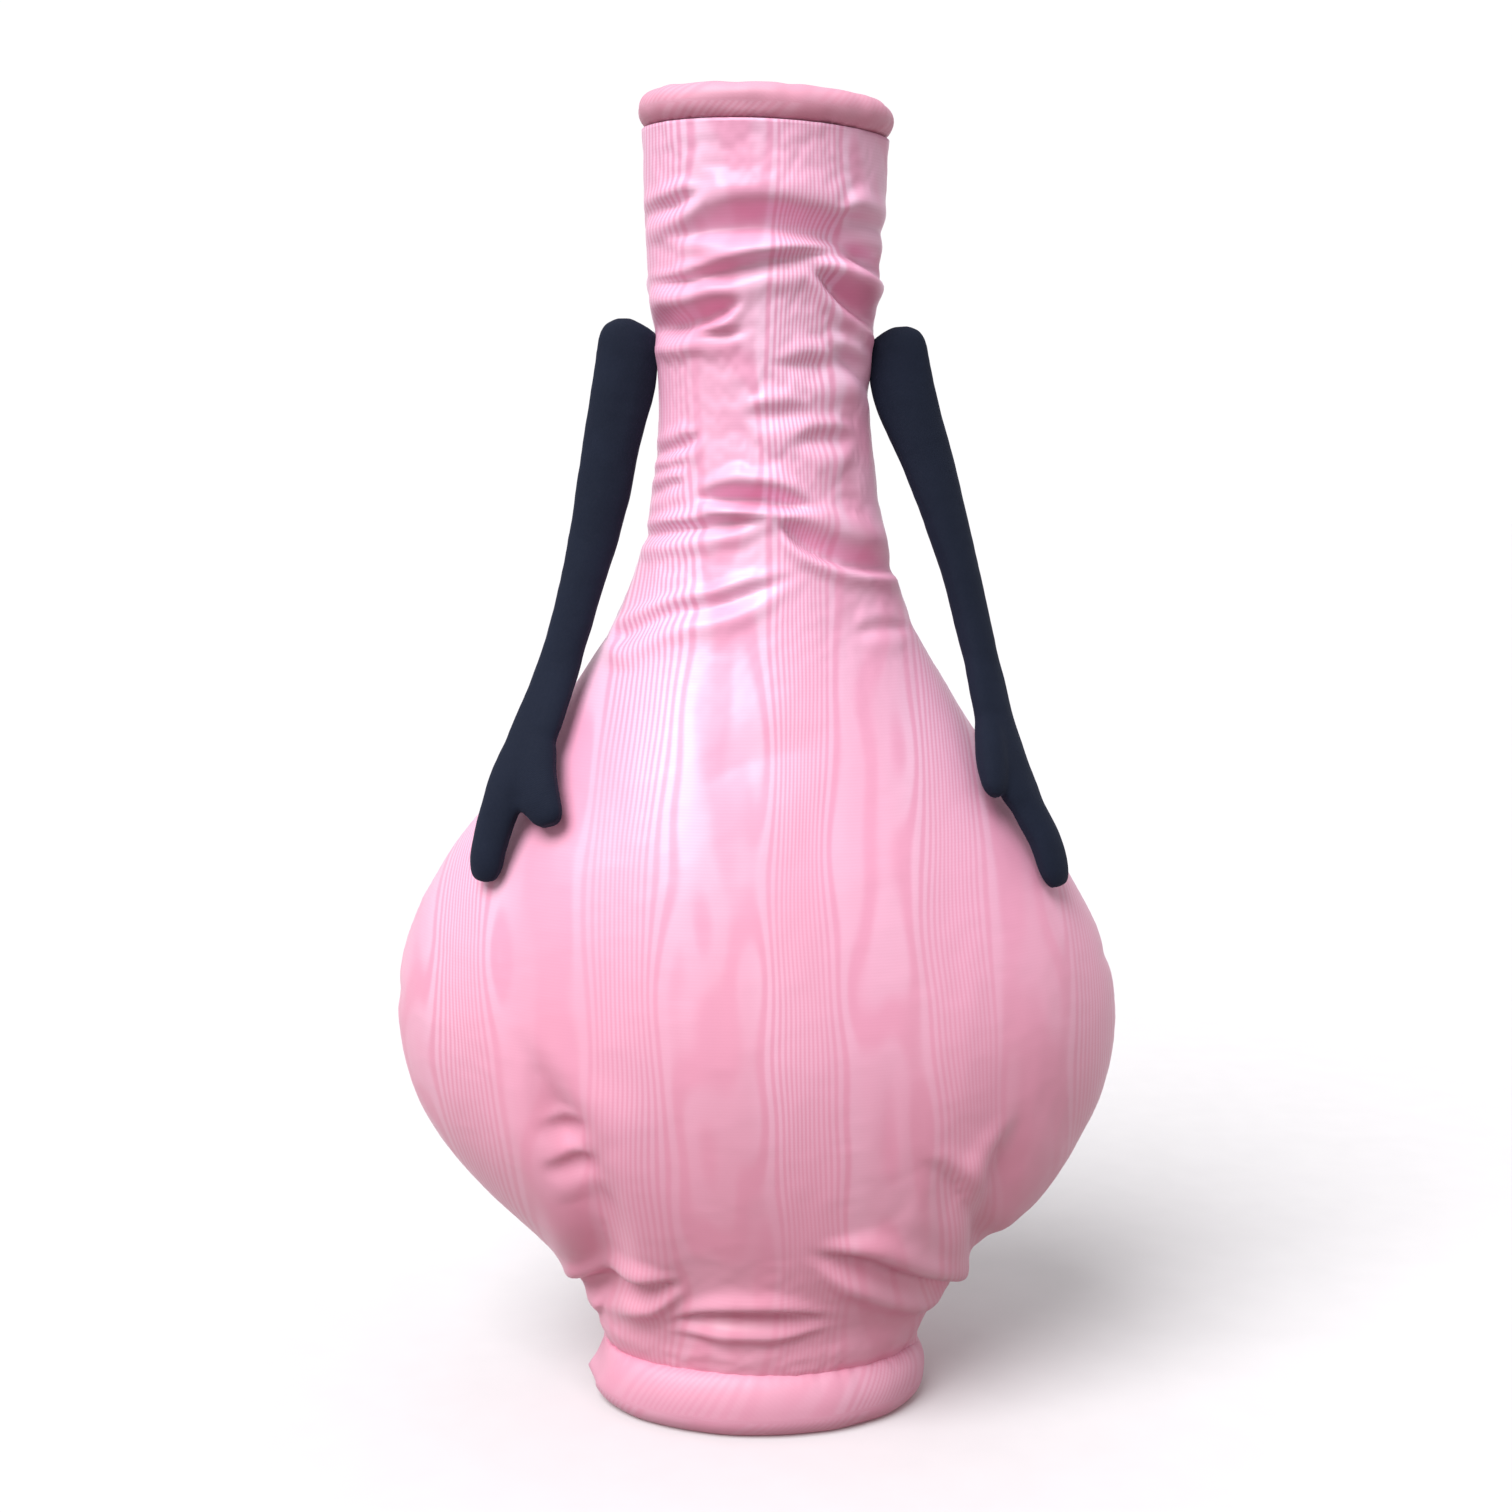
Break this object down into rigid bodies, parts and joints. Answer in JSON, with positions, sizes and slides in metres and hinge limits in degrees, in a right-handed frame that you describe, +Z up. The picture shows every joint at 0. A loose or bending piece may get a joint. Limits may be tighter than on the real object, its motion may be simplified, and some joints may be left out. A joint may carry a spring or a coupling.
{
  "type": "padded textile vase",
  "caption": "Padded fabric vase with a long neck and a wide flat belly, rolled mouth and foot, and two stuffed arms as handles.",
  "frame": {"origin": "middle of the foot's underside", "axes": "+Z up, the front towards -Y, +X to the right as seen from the front"},
  "size_m": [0.3372, 0.1904, 0.6009],
  "materials": {
    "moire": "watered silk-like moire, pale pink, soft sheen",
    "lining": "plain cotton lining",
    "wadding": "white polyester wadding",
    "cord": "undyed cotton piping cord",
    "base_card": "grey-brown pressed board",
    "jersey": "matt navy jersey",
    "thread": "navy sewing thread"
  },
  "bodies": {
    "vase": {"front_cover": "moire", "back_cover": "moire", "mouth_roll_cover": "moire", "foot_roll_cover": "moire", "base_cover": "moire", "front_lining": "lining", "back_lining": "lining", "base_lining": "lining", "front_wadding": "wadding", "back_wadding": "wadding", "mouth_roll_cord": "cord", "foot_roll_cord": "cord", "base_board": "base_card"},
    "left_shoulder": {"left_shoulder_stitch_1": "thread", "left_shoulder_stitch_2": "thread", "left_shoulder_stitch_3": "thread"},
    "left_arm": {"left_arm_filling": "wadding", "left_arm_front_cover": "jersey", "left_arm_back_cover": "jersey"},
    "right_shoulder": {"right_shoulder_stitch_1": "thread", "right_shoulder_stitch_2": "thread", "right_shoulder_stitch_3": "thread"},
    "right_arm": {"right_arm_filling": "wadding", "right_arm_front_cover": "jersey", "right_arm_back_cover": "jersey"}
  },
  "joints": [
    {"name": "left_arm_swing", "type": "hinge", "parent": "vase", "child": "left_shoulder", "pos_m": [-0.0506, 0, 0.5052], "axis": [0, 0, 1], "range_deg": [0, 25]},
    {"name": "left_arm_lift", "type": "hinge", "parent": "left_shoulder", "child": "left_arm", "pos_m": [-0.0506, 0, 0.5052], "axis": [0, 1, 0], "range_deg": [0, 80]},
    {"name": "right_arm_swing", "type": "hinge", "parent": "vase", "child": "right_shoulder", "pos_m": [0.0574, 0, 0.5026], "axis": [0, 0, -1], "range_deg": [0, 25]},
    {"name": "right_arm_lift", "type": "hinge", "parent": "right_shoulder", "child": "right_arm", "pos_m": [0.0574, 0, 0.5026], "axis": [0, -1, 0], "range_deg": [0, 80]}
  ]
}
